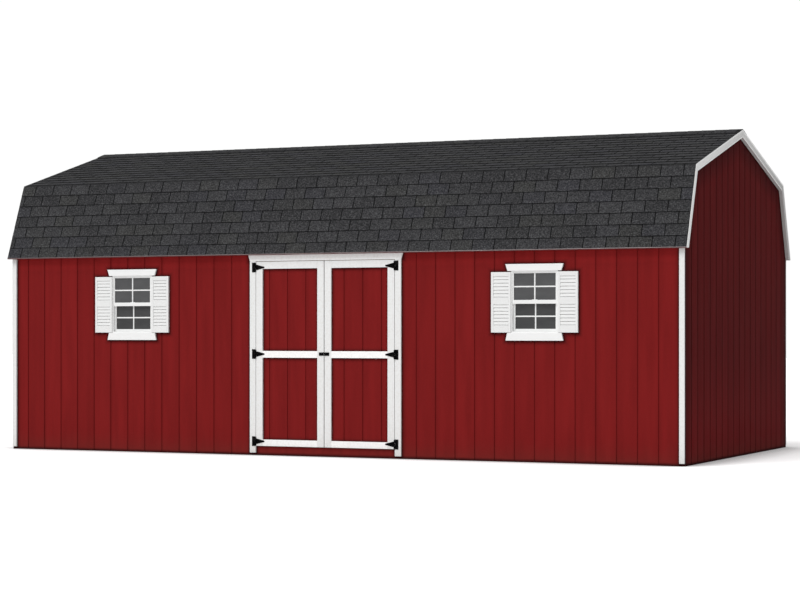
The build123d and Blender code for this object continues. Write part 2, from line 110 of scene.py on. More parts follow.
def addFloor(material):
    bm = bmesh.new()
    bmesh.ops.create_grid(bm, x_segments=1, y_segments=1, size=studio["floorSize"] / 2)
    mesh = bpy.data.meshes.new("paleFloor")
    bm.to_mesh(mesh)
    bm.free()
    mesh.materials.append(material)
    floor = addObject("paleFloor", mesh)


# Shader building blocks

def addNode(tree, kind, sources=(), **settings):
    # Sources go by the input's name or number
    node = tree.nodes.new(kind)
    for name, value in settings.items():
        setattr(node, name, value)
    for key, source in dict(sources).items():
        feed(node.inputs[key], source)
    return node


def follow(kind, sources, **settings):
    # The outputs of a new node, in the tree of the sockets that it takes
    sources = dict(sources)
    sockets = (item for item in sources.values() if isinstance(item, bpy.types.NodeSocket))
    return addNode(next(sockets).id_data, kind, sources, **settings).outputs


def feed(socket, source):
    # A socket takes another socket or a fixed value
    if isinstance(source, bpy.types.NodeSocket):
        socket.id_data.links.new(source, socket)
    elif isinstance(source, (tuple, list)) and socket.type == "RGBA" and len(source) == 3:
        socket.default_value = (*source, 1)
    else:
        socket.default_value = source


def mathNode(operation, *sources):
    return follow("ShaderNodeMath", enumerate(sources), operation=operation)[0]


def times(first, second):
    return mathNode("MULTIPLY", first, second)


def minus(first, second):
    return mathNode("SUBTRACT", first, second)


def absolute(source):
    return mathNode("ABSOLUTE", source)


def least(sources):
    result = sources[0]
    for source in sources[1:]:
        result = mathNode("MINIMUM", result, source)
    return result


def split(source, kind="XYZ"):
    # The three parts of a place or, as kind Color, of a colour
    return follow(f"ShaderNodeSeparate{kind}", {0: source})


def scaled(vector, factors):
    return follow("ShaderNodeVectorMath", {0: vector, 1: factors}, operation="MULTIPLY")[0]


def remap(value, low, high, toLow=0.0, toHigh=1.0):
    sources = {"Value": value, "From Min": low, "From Max": high, "To Min": toLow, "To Max": toHigh}
    return follow("ShaderNodeMapRange", sources)["Result"]


def mixColour(factor, first, second, blend="MIX"):
    sources = {0: factor, 6: first, 7: second}
    return follow("ShaderNodeMix", sources, data_type="RGBA", blend_type=blend)[2]


def multiplied(factor, tone, gain):
    return mixColour(factor, tone, [gain] * 3, "MULTIPLY")


def noiseNode(vector, scale, detail=3.0, roughness=0.55):
    sources = {"Vector": vector, "Scale": scale, "Detail": detail, "Roughness": roughness}
    return follow("ShaderNodeTexNoise", sources)["Fac"]


def cellNode(vector, scale):
    return follow("ShaderNodeTexVoronoi", {"Vector": vector, "Scale": scale}, feature="F1")


def startGroup(name, inputs, outputs):
    # Inputs go by name with their first values, a single number or a vector; all outputs are numbers
    group = bpy.data.node_groups.new(name, "ShaderNodeTree")
    for label, value in inputs.items():
        kind = "NodeSocketFloat" if isinstance(value, float) else "NodeSocketVector"
        socket = group.interface.new_socket(name=label, in_out="INPUT", socket_type=kind)
        socket.default_value = value
    for label in outputs:
        group.interface.new_socket(name=label, in_out="OUTPUT", socket_type="NodeSocketFloat")
    return group, addNode(group, "NodeGroupInput").outputs, addNode(group, "NodeGroupOutput").inputs


def makeGrainGroup():
    # Long fibres along one direction: Stretch is small along the board and large across it
    group, given, result = startGroup(
        "boardGrain", {"Place": (0, 0, 0), "Stretch": (60, 60, 2), "Knots": 0.0},
        ("Fibre", "Band", "Knot"),
    )
    place = scaled(given["Place"], given["Stretch"])
    cells = cellNode(scaled(place, (0.06, 0.06, 0.35)), 1.0)
    near = remap(cells["Distance"], 0.05, 0.16, 1.0, 0.0)
    broad = scaled(place, (0.13, 0.13, 0.5))
    feed(result["Fibre"], noiseNode(place, 1.0, 6.0, 0.62))
    feed(result["Band"], noiseNode(broad, 1.0, 2.0, 0.5))
    feed(result["Knot"], times(near, given["Knots"]))
    return group


def makeBoardGroup():
    # One steady random tone for each board between two grooves, and a painted shade towards its edges by
    # the grooves
    group, given, result = startGroup(
        "boardTone", {"Along": 0.0, "Start": 0.0, "Pitch": 0.2032, "Seed": 0.0}, ("Tone", "EdgeShade")
    )
    count = mathNode("DIVIDE", minus(given["Along"], given["Start"]), given["Pitch"])
    seeded = mathNode("ADD", mathNode("FLOOR", count), given["Seed"])
    white = follow("ShaderNodeTexWhiteNoise", {"W": seeded}, noise_dimensions="1D")
    fromMiddle = absolute(minus(mathNode("FRACT", count), 0.5))
    feed(result["Tone"], white["Value"])
    feed(result["EdgeShade"], remap(fromMiddle, 0.36, 0.5))
    return group


def makeDustGroup():
    # Splash and dust that thins out with height above the ground
    group, given, result = startGroup(
        "groundDust", {"Place": (0, 0, 0), "Reach": 0.35, "Amount": 0.5}, ("Mask",)
    )
    spread = noiseNode(given["Place"], 9.0, 4.0)
    reach = times(given["Reach"], mathNode("ADD", spread, 0.3))
    rise = mathNode("DIVIDE", split(given["Place"])["Z"], reach)
    soft = mathNode("POWER", remap(rise, 0.0, 1.0, 1.0, 0.0), 2.0)
    feed(result["Mask"], times(soft, given["Amount"]))
    return group


def makeWearGroup():
    # Scuffed paint where a board's edge stands out
    group, given, result = startGroup("edgeWear", {"Place": (0, 0, 0), "Amount": 0.3}, ("Mask",))
    shape = addNode(group, "ShaderNodeNewGeometry")
    ridge = remap(shape.outputs["Pointiness"], 0.53, 0.6)
    broken = remap(noiseNode(given["Place"], 45.0, 4.0), 0.45, 0.7)
    feed(result["Mask"], times(times(ridge, broken), given["Amount"]))
    return group


def makeGranuleGroup():
    # Crushed-stone granules: their speckle and the bump that goes with it
    group, given, result = startGroup(
        "stoneGranules", {"Place": (0, 0, 0), "Size": 420.0}, ("Speckle", "Height")
    )
    cells = cellNode(given["Place"], given["Size"])
    feed(result["Speckle"], split(cells["Color"], "Color")[0])
    feed(result["Height"], minus(1.0, cells["Distance"]))
    return group


grainGroup = makeGrainGroup()
boardGroup = makeBoardGroup()
dustGroup = makeDustGroup()
wearGroup = makeWearGroup()
granuleGroup = makeGranuleGroup()


def useGroup(group, **values):
    return follow("ShaderNodeGroup", values, node_tree=group)


def startMaterial(name):
    material = bpy.data.materials.new(name)
    material.use_nodes = True
    return material, addNode(material.node_tree, "ShaderNodeTexCoord").outputs["Object"]


def coat(material, tone, rough, height, strength, distance, gloss=0.5):
    # The last step of a finish: its colour, roughness, gloss and bump
    bump = follow("ShaderNodeBump", {"Strength": strength, "Distance": distance, "Height": height})
    shader = material.node_tree.nodes["Principled BSDF"]
    for name, source in (
        ("Base Color", tone), ("Roughness", rough), ("Specular IOR Level", gloss), ("Normal", bump[0])
    ):
        feed(shader.inputs[name], source)
    return material


# Painted wood

uprightGrain = (85, 85, 2.2)
levelGrain = (2.2, 85, 85)
redPaint = {
    "longWalls": ((0.182, 0.0096, 0.0098), (0.205, 0.0108, 0.011), (0.136, 0.0068, 0.007)),
    # The gables' red is a darker, shaded copy of the long walls' red: painted shade for the side away
    # from the light
    "shadedGables": ((0.1, 0.0062, 0.0068), (0.106, 0.0066, 0.0072), (0.076, 0.0044, 0.005)),
    "leaves": ((0.182, 0.0096, 0.0098), (0.203, 0.0108, 0.011), (0.136, 0.0068, 0.007)),
    "longGloss": 0.06,
    "gableGloss": 0.02,
    # How strongly the painted shade darkens each board towards its edges
    "longEdgeShade": 0.45,
    "gableEdgeShade": 0.2,
    "dust": (0.12, 0.06, 0.045),
    # Colour of the painted shade along the foot of the siding
    "footShade": (0.03, 0.004, 0.004),
    "roughness": (0.62, 0.78),
    # Colour of the painted shade beside trim, corners and joints
    "jointShade": (0.012, 0.0018, 0.002),
    # Painted light that lifts the red just under the eave, against the eave's shadow
    "eaveLightFrom": 1.86,
    "eaveLightTo": 1.955,
    "eaveLightGain": 1.4,
    "cornerBoard": 0.05,
    "trimShadeReach": 0.055,
    "leafShadeReach": 0.045,
    "gableShadeReach": 0.23,
    "gableCreaseShade": 0.045,
    # Painted light towards the ground on the gables
    "groundLightReach": 1.1,
    "groundLightGain": 1.8,
}
whitePaint = {
    "colour": (0.8, 0.805, 0.8),
    # A lighter copy of the trim white for level boards: painted light
    "litColour": (0.97, 0.97, 0.965),
    # The rake boards' white, lit at the front eave and shaded at the back one: painted light and shade
    "rakeFrontLit": (0.95, 0.95, 0.945),
    "rakeBackShaded": (0.43, 0.428, 0.425),
    # Grey for the rake boards' undersides: painted shade
    "undersideShade": (0.56, 0.54, 0.535),
    "shade": 0.93,
    "dust": (0.5, 0.45, 0.38),
    "roughness": (0.34, 0.5),
}


def makeRedPaint(name, tones, axis, start, seed, gloss, edge, paintedLight):
    colour, bright, deep = tones
    material, place = startMaterial(name)
    parts = split(place)
    boards = useGroup(boardGroup, Along=parts[axis], Start=start, Pitch=siding["pitch"], Seed=seed)
    grain = useGroup(grainGroup, Place=place, Stretch=uprightGrain)
    dust = useGroup(dustGroup, Place=place, Reach=0.3, Amount=0.16)
    wear = useGroup(wearGroup, Place=place, Amount=0.25)
    tone = mixColour(boards["Tone"], colour, bright)
    tone = mixColour(remap(grain["Band"], 0.35, 0.7, 0.0, 0.55), tone, deep)
    # Painted shade towards each board's edges, beside the grooves
    tone = mixColour(times(boards["EdgeShade"], edge), tone, deep)
    tone = mixColour(wear["Mask"], tone, bright)
    tone = mixColour(dust["Mask"], tone, redPaint["dust"])
    # Each wall's own painted light and shade
    tone = paintedLight(parts, tone)
    # Painted shade along the foot of the siding, where it meets the ground
    footShade = mathNode("MULTIPLY_ADD", grain["Band"], 0.012, parts["Z"])
    tone = mixColour(remap(footShade, 0.018, 0.04, 0.9, 0.0), tone, redPaint["footShade"])
    rough = remap(grain["Fibre"], 0.3, 0.7, *redPaint["roughness"])
    return coat(material, tone, rough, grain["Fibre"], 0.35, 0.0012, gloss)


def outside(across, height, low, high):
    # How far a place lies outside an upright rectangle
    gaps = []
    for place, near, far in ((across, low[0], high[0]), (height, low[2], high[2])):
        fromMiddle = absolute(minus(place, (near + far) / 2))
        gaps.append(minus(fromMiddle, (far - near) / 2))
    return mathNode("MAXIMUM", *gaps)


def shadedNearJoint(tone, nearest, reach, full, amount):
    # Painted shade that thins out over its reach from the nearest joint
    near = mathNode("POWER", remap(nearest, reach, full), 2.0)
    return mixColour(times(near, amount), tone, redPaint["jointShade"])


def paintedLightLongWall(parts, tone):
    # Painted light under the eave, lifting the paint where the eave's shadow falls; painted shade beside
    # the front's trim and at all corners
    eaveLight = remap(parts["Z"], redPaint["eaveLightFrom"], redPaint["eaveLightTo"])
    tone = multiplied(eaveLight, tone, redPaint["eaveLightGain"])
    across = absolute(parts["X"])
    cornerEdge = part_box("corner_trim_front")[1][0] - redPaint["cornerBoard"]
    beside = least([
        outside(across, parts["Z"], *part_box(node))
        for node in ("jamb_trim_right", "header_trim", "right_window_frame", "right_shutters")
    ])
    onFront = mathNode("MAXIMUM", beside, remap(parts["Y"], -0.1, 0.1))
    nearest = least([onFront, minus(cornerEdge, across)])
    return shadedNearJoint(tone, nearest, redPaint["trimShadeReach"], 0.004, 0.8)


def paintedShadeLeaf(parts, tone):
    # Painted shade where the siding meets the leaf's frame
    across = absolute(parts["X"])
    low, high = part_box("right_door_frame")
    edges = [minus(across, low[0] + door["stile"]), minus(high[0] - door["stile"], across)]
    for foot, head in railSpans(low[2], high[2]):
        edges.append(outside(across, parts["Z"], (low[0], 0, foot), (high[0], 0, head)))
    return shadedNearJoint(tone, least(edges), redPaint["leafShadeReach"], 0.002, 0.75)


def paintedLightGable(parts, tone):
    # Painted light towards the ground, against the shade there; painted shade in the grooves, beside the
    # corners and beneath the rake boards
    low = remap(parts["Z"], 0.0, redPaint["groundLightReach"], 1.0, 0.0)
    tone = multiplied(mathNode("POWER", low, 1.5), tone, redPaint["groundLightGain"])
    aside = absolute(parts["Y"])
    edges = [minus(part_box("gable_wall_right")[1][1], aside)]
    foot, knee, ridge = slopeLines(1)
    for start, end, board in ((foot, knee, roof["lowerRake"]), (knee, ridge, roof["upperRake"])):
        upSlope = (end - start).normalized()
        across = times(aside, upSlope.z)
        height = mathNode("MULTIPLY_ADD", parts["Z"], -upSlope.y, across)
        offset = start.y * upSlope.z - start.z * upSlope.y
        edges.append(minus(offset - board, height))
    nearest = least(edges)
    wide = remap(nearest, redPaint["gableShadeReach"], 0.0, 0.0, 0.65)
    tight = remap(nearest, redPaint["gableCreaseShade"], 0.008, 0.0, 0.85)
    within = mathNode("FRACT", mathNode("MULTIPLY_ADD", aside, 1 / siding["pitch"], 0.5))
    groove = remap(absolute(minus(within, 0.5)), 0.048, 0.028, 0.0, 0.8)
    mask = mathNode("MAXIMUM", mathNode("MAXIMUM", wide, tight), groove)
    return mixColour(mask, tone, redPaint["jointShade"])


def makeWhitePaint(name, stretch, colour, shadedBackColour=None):
    # With a shaded back colour, the paint greys from the front eave to the back one: painted light and
    # shade
    material, place = startMaterial(name)
    if shadedBackColour:
        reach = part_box("gable_wall_right")[1][1]
        shadeFade = remap(split(place)["Y"], -0.85 * reach, reach)
        colour = mixColour(shadeFade, colour, shadedBackColour)
    grain = useGroup(grainGroup, Place=place, Stretch=stretch)
    dust = useGroup(dustGroup, Place=place, Reach=0.3, Amount=0.22)
    wear = useGroup(wearGroup, Place=place, Amount=0.3)
    streaks = remap(grain["Band"], 0.35, 0.75, 0.0, 0.45)
    tone = multiplied(streaks, colour, whitePaint["shade"])
    for mask in (wear["Mask"], dust["Mask"]):
        tone = mixColour(mask, tone, whitePaint["dust"])
    rough = remap(grain["Fibre"], 0.3, 0.7, *whitePaint["roughness"])
    return coat(material, tone, rough, grain["Fibre"], 0.2, 0.0008)


# Other finishes

shingleStone = {
    "darkColour": (0.0165, 0.0165, 0.0177),
    "middleColour": (0.0365, 0.0365, 0.0388),
    "lightColour": (0.112, 0.112, 0.117),
    "blueColour": (0.027, 0.027, 0.035),
    "oliveColour": (0.0325, 0.0325, 0.028),
    # Near-black for cut edges, partly painted shade, and for the painted shadow lines
    "edgeAndShadeColour": (0.0035, 0.0035, 0.004),
    "tint": 0.75,
    "upperShadowLine": 0.035,
}
pine = ((0.66, 0.5, 0.31), (0.54, 0.37, 0.2), (0.42, 0.27, 0.14), (0.2, 0.1, 0.045))
plywood = ((0.6, 0.46, 0.29), (0.52, 0.37, 0.21), (0.4, 0.27, 0.15), (0.22, 0.12, 0.06))
sidingBackTones = ((0.3, 0.2, 0.12), (0.25, 0.16, 0.09), (0.2, 0.12, 0.07), (0.15, 0.09, 0.05))


def makeShingleStone():
    # The colour of tabTone is a tab's own random tone. Its alpha is 0 on cut edges, and on a tab's face
    # it runs from 0.1 at the butt to 1 at the head.
    material, place = startMaterial("shingleStone")
    tab = addNode(material.node_tree, "ShaderNodeAttribute", attribute_name="tabTone").outputs
    parts = split(tab["Color"], "Color")
    granules = useGroup(granuleGroup, Place=place, Size=330.0)
    coarse = noiseNode(place, 75.0, 2.0, 0.6)
    tone = mixColour(parts[0], shingleStone["darkColour"], shingleStone["middleColour"])
    for source, spread, colour in (
        (parts[1], (0.75, 1.0, 0.0, shingleStone["tint"]), "blueColour"),
        (parts[2], (0.75, 1.0, 0.0, shingleStone["tint"]), "oliveColour"),
        (granules["Speckle"], (0.72, 1.0, 0.0, 0.7), "lightColour"),
        (granules["Speckle"], (0.0, 0.3, 0.6, 0.0), "darkColour"),
        (coarse, (0.5, 0.7, 0.0, 0.6), "lightColour"),
        (coarse, (0.32, 0.5, 1.0, 0.0), "darkColour"),
        # Darker towards each tab's head: painted shade under the course above
        (tab["Alpha"], (0.2, 1.0, 0.0, 0.3), "darkColour"),
    ):
        tone = mixColour(remap(source, *spread), tone, shingleStone[colour])
    # Near-black cut edges and underlay, partly painted shade, and the painted shadow line under each
    # course
    tone = mixColour(courseShadowLine(place, tab["Alpha"]), tone, shingleStone["edgeAndShadeColour"])
    return coat(material, tone, 0.9, granules["Height"], 0.6, 0.0015, 0.15)


def courseShadowLine(place, along):
    # Cut edges, near-black partly as the asphalt's own colour and partly as painted shade in the slots,
    # and an uneven painted shadow line beneath the next course, wider above the knee
    cutEdge = remap(along, 0.02, 0.08, 1.0, 0.0)
    length = roof["exposure"] + roof["headLap"]
    start = 0.1 + 0.9 * (roof["exposure"] - roof["shadowLine"]) / length
    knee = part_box("lower_roof_deck")[1][2]
    wider = remap(split(place)["Z"], knee, knee + 0.02, 0.0, shingleStone["upperShadowLine"])
    under = remap(mathNode("ADD", along, wider), start, start + 0.012)
    uneven = remap(noiseNode(place, 3.0, 3.0), 0.35, 0.6, 0.45, 1.0)
    return mathNode("MAXIMUM", cutEdge, times(under, uneven))


def makeLumber(name, tones, stretch, knots):
    # Bare softwood: pale early wood, darker bands, fine fibre and a few knots
    early, late, fibre, knot = tones
    material, place = startMaterial(name)
    grain = useGroup(grainGroup, Place=place, Stretch=stretch, Knots=knots)
    tone = mixColour(remap(grain["Band"], 0.3, 0.7), early, late)
    tone = mixColour(remap(grain["Fibre"], 0.45, 0.75, 0.0, 0.5), tone, fibre)
    tone = mixColour(grain["Knot"], tone, knot)
    return coat(material, tone, remap(grain["Fibre"], 0.3, 0.7, 0.6, 0.8), grain["Fibre"], 0.3, 0.001)


def makeStrandBoard():
    # Pressed strands: flat flakes of several tones, turned every way
    material, place = startMaterial("strandBoard")
    flakes = cellNode(scaled(place, (1.0, 2.6, 2.6)), 22.0)
    parts = split(flakes["Color"], "Color")
    tone = mixColour(parts[0], (0.38, 0.25, 0.13), (0.62, 0.46, 0.27))
    rim = remap(flakes["Distance"], 0.35, 0.7, 0.0, 0.5)
    tone = mixColour(rim, tone, (0.24, 0.15, 0.08))
    return coat(material, tone, remap(parts[1], 0.0, 1.0, 0.62, 0.82), parts[2], 0.3, 0.0012)


def makeBlackIron():
    # Powder coat, a little greyer where its edges are scuffed
    material, place = startMaterial("blackIron")
    fine = noiseNode(place, 900.0, 2.0)
    broad = noiseNode(place, 35.0, 4.0)
    wear = useGroup(wearGroup, Place=place, Amount=0.4)
    tone = mixColour(broad, (0.001, 0.001, 0.0012), (0.003, 0.003, 0.0033))
    tone = mixColour(wear["Mask"], tone, (0.03, 0.0285, 0.027))
    return coat(material, tone, remap(broad, 0.3, 0.7, 0.38, 0.55), fine, 0.25, 0.0004, 0.02)


def makeVinyl(name, colour):
    # Moulded plastic or coated metal: even colour, faint orange-peel and a trace of dust
    material, place = startMaterial(name)
    peel = noiseNode(place, 260.0, 2.0)
    broad = noiseNode(place, 6.0, 3.0)
    dust = useGroup(dustGroup, Place=place, Reach=0.2, Amount=0.2)
    deep = [part * whitePaint["shade"] for part in colour]
    tone = mixColour(remap(broad, 0.35, 0.7, 0.0, 0.4), colour, deep)
    tone = mixColour(dust["Mask"], tone, whitePaint["dust"])
    return coat(material, tone, remap(broad, 0.3, 0.7, 0.28, 0.4), peel, 0.12, 0.0004)


def makeGlass():
    # Smeared panes in a dark grey that stands for the shaded room behind them, the lower ones darker
    # still: painted shade
    material, place = startMaterial("windowGlass")
    smears = noiseNode(scaled(place, (1.0, 1.0, 2.5)), 7.0, 5.0, 0.6)
    tone = mixColour(smears, (0.067, 0.068, 0.07), (0.104, 0.105, 0.107))
    low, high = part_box("right_window_glass")
    meeting = (low[2] + high[2]) / 2
    # Painted shade on the lower panes
    lower = remap(split(place)["Z"], meeting, meeting + 0.005, 1.0, 0.0)
    tone = multiplied(lower, tone, window["lowerPaneShade"])
    material.node_tree.nodes["Principled BSDF"].inputs["Alpha"].default_value = 0.93
    return coat(material, tone, remap(smears, 0.35, 0.75, 0.06, 0.2), smears, 0.05, 0.002)


def makeFloorPaint():
    # A plain floor with soft contact shade around whatever stands on it
    material = startMaterial("paleFloorPaint")[0]
    tree = material.node_tree
    shader = tree.nodes["Principled BSDF"]
    sources = {"Distance": studio["contactReach"], "Color": studio["floorColour"]}
    contact = addNode(tree, "ShaderNodeAmbientOcclusion", sources, samples=8)
    feed(shader.inputs["Base Color"], contact.outputs["Color"])
    shader.inputs["Roughness"].default_value = 0.9
    shader.inputs["Specular IOR Level"].default_value = 0.1
    shader.inputs["Emission Color"].default_value = (1, 1, 1, 1)
    path = addNode(tree, "ShaderNodeLightPath")
    glow = times(path.outputs["Is Camera Ray"], studio["floorGlow"])
    feed(shader.inputs["Emission Strength"], times(glow, contact.outputs["AO"]))
    return material


# Pieces

def corners(node):
    return [Vector(corner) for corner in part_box(node)]


def addBox(bm, low, high, place=None):
    low, high = Vector(low), Vector(high)
    shape = Matrix.Translation((low + high) / 2) @ Matrix.Diagonal((*(high - low), 1))
    verts = bmesh.ops.create_cube(bm, size=1, matrix=shape)["verts"]
    if place:
        bmesh.ops.transform(bm, matrix=place, verts=verts)
    return verts


def facesOf(verts):
    return {face for vert in verts for face in vert.link_faces}


def addPanelFrame(bm, low, high, stile, rails, joint=0.0):
    # Two upright stiles, with the rails between them
    for left, right in ((low.x, low.x + stile), (high.x - stile, high.x)):
        addBox(bm, (left, low.y, low.z), (right, high.y, high.z))
    for foot, head in rails:
        addBox(bm, (low.x + stile + joint, low.y, foot), (high.x - stile - joint, high.y, head))


def finishPiece(bm, name, body, materials, replaced=(), bevel=0.0):
    bmesh.ops.recalc_face_normals(bm, faces=bm.faces)
    mesh = bpy.data.meshes.new(name)
    bm.to_mesh(mesh)
    bm.free()
    for material in materials:
        mesh.materials.append(material)
    piece = addObject(name, mesh)
    if bevel:
        edges = piece.modifiers.new("edges", "BEVEL")
        edges.width = bevel
        edges.segments = 2
        edges.limit_method = "ANGLE"
        edges.angle_limit = math.radians(35)
        edges.use_clamp_overlap = True
    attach(piece, body)
    if replaced:
        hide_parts(*replaced)
    return piece


def dressed(node, name, body, material, bevel):
    # A CAD piece of the right shape, welded and given eased edges
    bm = bmesh.new()
    bm.from_mesh(frame["nodes"][node].data)
    bmesh.ops.remove_doubles(bm, verts=bm.verts[:], dist=1e-5)
    flatten(bm, math.radians(1))
    return finishPiece(bm, name, body, [material], [node], bevel)


# Siding

siding = {
    "pitch": 0.2032,
    "groove": 0.009,
    "sheetJoint": 0.012,
    "boardsPerSheet": 6,
    "relief": 0.006,
    "roundOver": 0.0018,
    "endMargin": 0.02,
    "longWallStart": -3.687,
    "gableStart": 0.0,
    "leafStart": 0.008,
    "leafGrooves": (0.211, 0.414, 0.615),
}


def flatten(bm, angle):
    # Takes out the points and edges that only divide flat faces
    bmesh.ops.dissolve_limit(
        bm, angle_limit=angle, verts=bm.verts[:], edges=bm.edges[:], delimit={"NORMAL"}
    )


def cut(bm, point, normal, away=False):
    # Splits everything along a plane, or also removes what lies beyond it and closes the end
    geometry = bm.verts[:] + bm.edges[:] + bm.faces[:]
    made = bmesh.ops.bisect_plane(
        bm, geom=geometry, dist=1e-6, plane_co=point, plane_no=normal, clear_outer=away
    )
    if away:
        rim = [item for item in made["geom_cut"] if isinstance(item, bmesh.types.BMEdge)]
        bmesh.ops.contextual_create(bm, geom=rim)


def grooveRuns(low, high, start):
    # Groove centres and widths between two ends of a wall; sheet edges have the wider joint
    first = math.ceil((low + siding["endMargin"] - start) / siding["pitch"])
    last = math.floor((high - siding["endMargin"] - start) / siding["pitch"])
    runs = []
    for index in range(first, last + 1):
        width = siding["groove"] if index % siding["boardsPerSheet"] else siding["sheetJoint"]
        runs.append((start + index * siding["pitch"], width))
    return runs


def openWindow(bm, outward, low, high):
    # Cuts a window-sized hole through the sheet and closes its sides
    across = 0 if outward.y else 1
    for axis in (across, 2):
        normal = Vector((0, 0, 0))
        normal[axis] = 1
        for corner in (low, high):
            cut(bm, corner, normal)

    def inside(point):
        return all(low[axis] < point[axis] < high[axis] for axis in (across, 2))

    panes = [
        face for face in bm.faces
        if abs(face.normal.dot(outward)) > 0.9 and inside(face.calc_center_median())
    ]
    bmesh.ops.delete(bm, geom=panes, context="FACES")
    bmesh.ops.bridge_loops(bm, edges=[edge for edge in bm.edges if edge.is_boundary])


def raiseBoards(bm, outward, along, runs):
    # Everything between the grooves stands out by the siding's relief
    def inGroove(face):
        place = face.calc_center_median()[along]
        return any(abs(place - centre) < width / 2 for centre, width in runs)

    boards = [face for face in bm.faces if face.normal.dot(outward) > 0.9 and not inGroove(face)]
    raised = bmesh.ops.extrude_face_region(bm, geom=boards)
    tops = [item for item in raised["geom"] if isinstance(item, bmesh.types.BMVert)]
    bmesh.ops.translate(bm, verts=tops, vec=outward * siding["relief"])
    flatten(bm, 0.01)


def roundLips(bm, outward, along, face, runs):
    # Eases the boards' upright edges along the grooves
    lips = []
    for edge in bm.edges:
        upright = abs((edge.verts[0].co - edge.verts[1].co).normalized().z) > 0.99
        outer = any(side.normal.dot(outward) > 0.9 for side in edge.link_faces)
        middle = (edge.verts[0].co + edge.verts[1].co) / 2
        proud = abs(middle[1 - along] - face) < 1e-5
        if upright and outer and proud and any(abs(middle[along] - c) < w for c, w in runs):
            lips.append(edge)
    if lips:
        bmesh.ops.bevel(
            bm, geom=lips, offset=siding["roundOver"], offset_type="OFFSET", segments=2, profile=0.5,
            affect="EDGES", material=-1,
        )


def buildSiding(name, node, body, outward, runs, materials, openings=(), slopes=()):
    low, high = corners(node)
    along = 0 if outward.y else 1
    direction = Vector((1, 0, 0)) if outward.y else Vector((0, 1, 0))
    depth = 1 - along
    if outward[depth] > 0:
        high[depth] -= siding["relief"]
    else:
        low[depth] += siding["relief"]
    bm = bmesh.new()
    addBox(bm, low, high)
    for point, normal in slopes:
        cut(bm, point, normal, away=True)
    for centre, width in runs:
        for side in (-0.5, 0.5):
            cut(bm, direction * (centre + side * width), direction)
    for windowLow, windowHigh in openings:
        openWindow(bm, outward, windowLow, windowHigh)
    bmesh.ops.recalc_face_normals(bm, faces=bm.faces)
    raiseBoards(bm, outward, along, runs)
    roundLips(bm, outward, along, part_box(node)[int(outward[depth] > 0)][depth], runs)
    for face in bm.faces:
        if face.normal.dot(outward) < -0.9:
            face.material_index = 1
    finishPiece(bm, name, body, materials, [node])


def roofPlanes():
    # Undersides of the roof sheathing, each from its largest face that looks down and inwards
    planes = []
    for node in ("lower_roof_deck", "upper_roof_deck"):
        for side in (-1, 1):
            under = [
                face for face in frame["nodes"][node].data.polygons
                if face.normal.z < -0.2 and face.normal.y * side < -0.05 and abs(face.normal.x) < 0.1
            ]
            largest = max(under, key=lambda face: face.area)
            planes.append((Vector(largest.center), -Vector(largest.normal)))
    return planes


def buildWalls(finishes):
    for node, name in (
        ("front_wall_left", "frontSidingLeft"),
        ("front_wall_right", "frontSidingRight"),
        ("front_wall_over_door", "frontSidingOverDoor"),
        ("door_sill", "doorSillStrip"),
        ("rear_wall", "rearSiding"),
    ):
        low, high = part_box(node)
        rear = 1 if node == "rear_wall" else -1
        runs = []
        if node != "door_sill":
            runs = grooveRuns(low[0], high[0], -rear * siding["longWallStart"])
        openings = [windowHole(side) for side in ("left", "right") if node == f"front_wall_{side}"]
        buildSiding(name, node, "root", Vector((0, rear, 0)), runs, finishes["long"], openings)
    planes = roofPlanes()
    for side, sign in sides:
        node = f"gable_wall_{side}"
        low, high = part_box(node)
        runs = grooveRuns(low[1], high[1], siding["gableStart"])
        buildSiding(
            f"gableSiding{side.capitalize()}", node, "root", Vector((sign, 0, 0)), runs,
            finishes["gable"], slopes=planes,
        )


def windowHole(side):
    # The frame's outer edge, without the flared boards above and below it
    low, high = corners(f"{side}_window_sashes")
    border = Vector((window["frameBorder"], 0, window["frameBorder"]))
    return low - border, high + border


# Windows

window = {
    "frameBorder": 0.012,
    "edge": 0.0015,
    "bar": 0.013,
    "barProud": 0.004,
    "lock": (0.055, 0.012, 0.005),
    "lockSetBack": 0.012,
    "knobRadii": (0.009, 0.007),
    "knobHeight": 0.008,
    "lowerPaneShade": 0.6,
}


def buildWindow(side, finishes):
    print("window", side)
    vinyl = finishes["window"]
    for part in ("Frame", "Sashes"):
        node = f"{side}_window_{part.lower()}"
        dressed(node, f"{side}Window{part}", "root", vinyl, window["edge"])
    panes = paneBoxes(side)
    half = window["bar"] / 2
    bm = bmesh.new()
    for low, high in panes:
        middle = (low + high) / 2
        near, far = low.y - window["barProud"], high.y + window["barProud"]
        addBox(bm, (middle.x - half, near, low.z), (middle.x + half, far, high.z))
        addBox(bm, (low.x, near + 0.0004, middle.z - half), (high.x, far - 0.0004, middle.z + half))
    finishPiece(bm, f"{side}WindowBars", "root", [vinyl], bevel=0.002)
    buildLock(side, panes[0][0].z, vinyl)


def buildLock(side, railTop, vinyl):
    # A catch with a round knob on the meeting rail, at the middle of the window
    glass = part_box(f"{side}_window_glass")
    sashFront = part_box(f"{side}_window_sashes")[0][1]
    middle = (glass[0][0] + glass[1][0]) / 2
    place = Vector((middle, sashFront + window["lockSetBack"], railTop - 0.001))
    width, depth, height = window["lock"]
    corner = Vector((width / 2, depth / 2, 0))
    bm = bmesh.new()
    addBox(bm, place - corner, place + corner + Vector((0, 0, height)))
    foot, top = window["knobRadii"]
    bmesh.ops.create_cone(
        bm, cap_ends=True, segments=20, radius1=foot, radius2=top, depth=window["knobHeight"],
        matrix=Matrix.Translation(place + Vector((0, 0, 0.009))),
    )
    finishPiece(bm, f"{side}WindowLock", "root", [vinyl], bevel=0.0012)


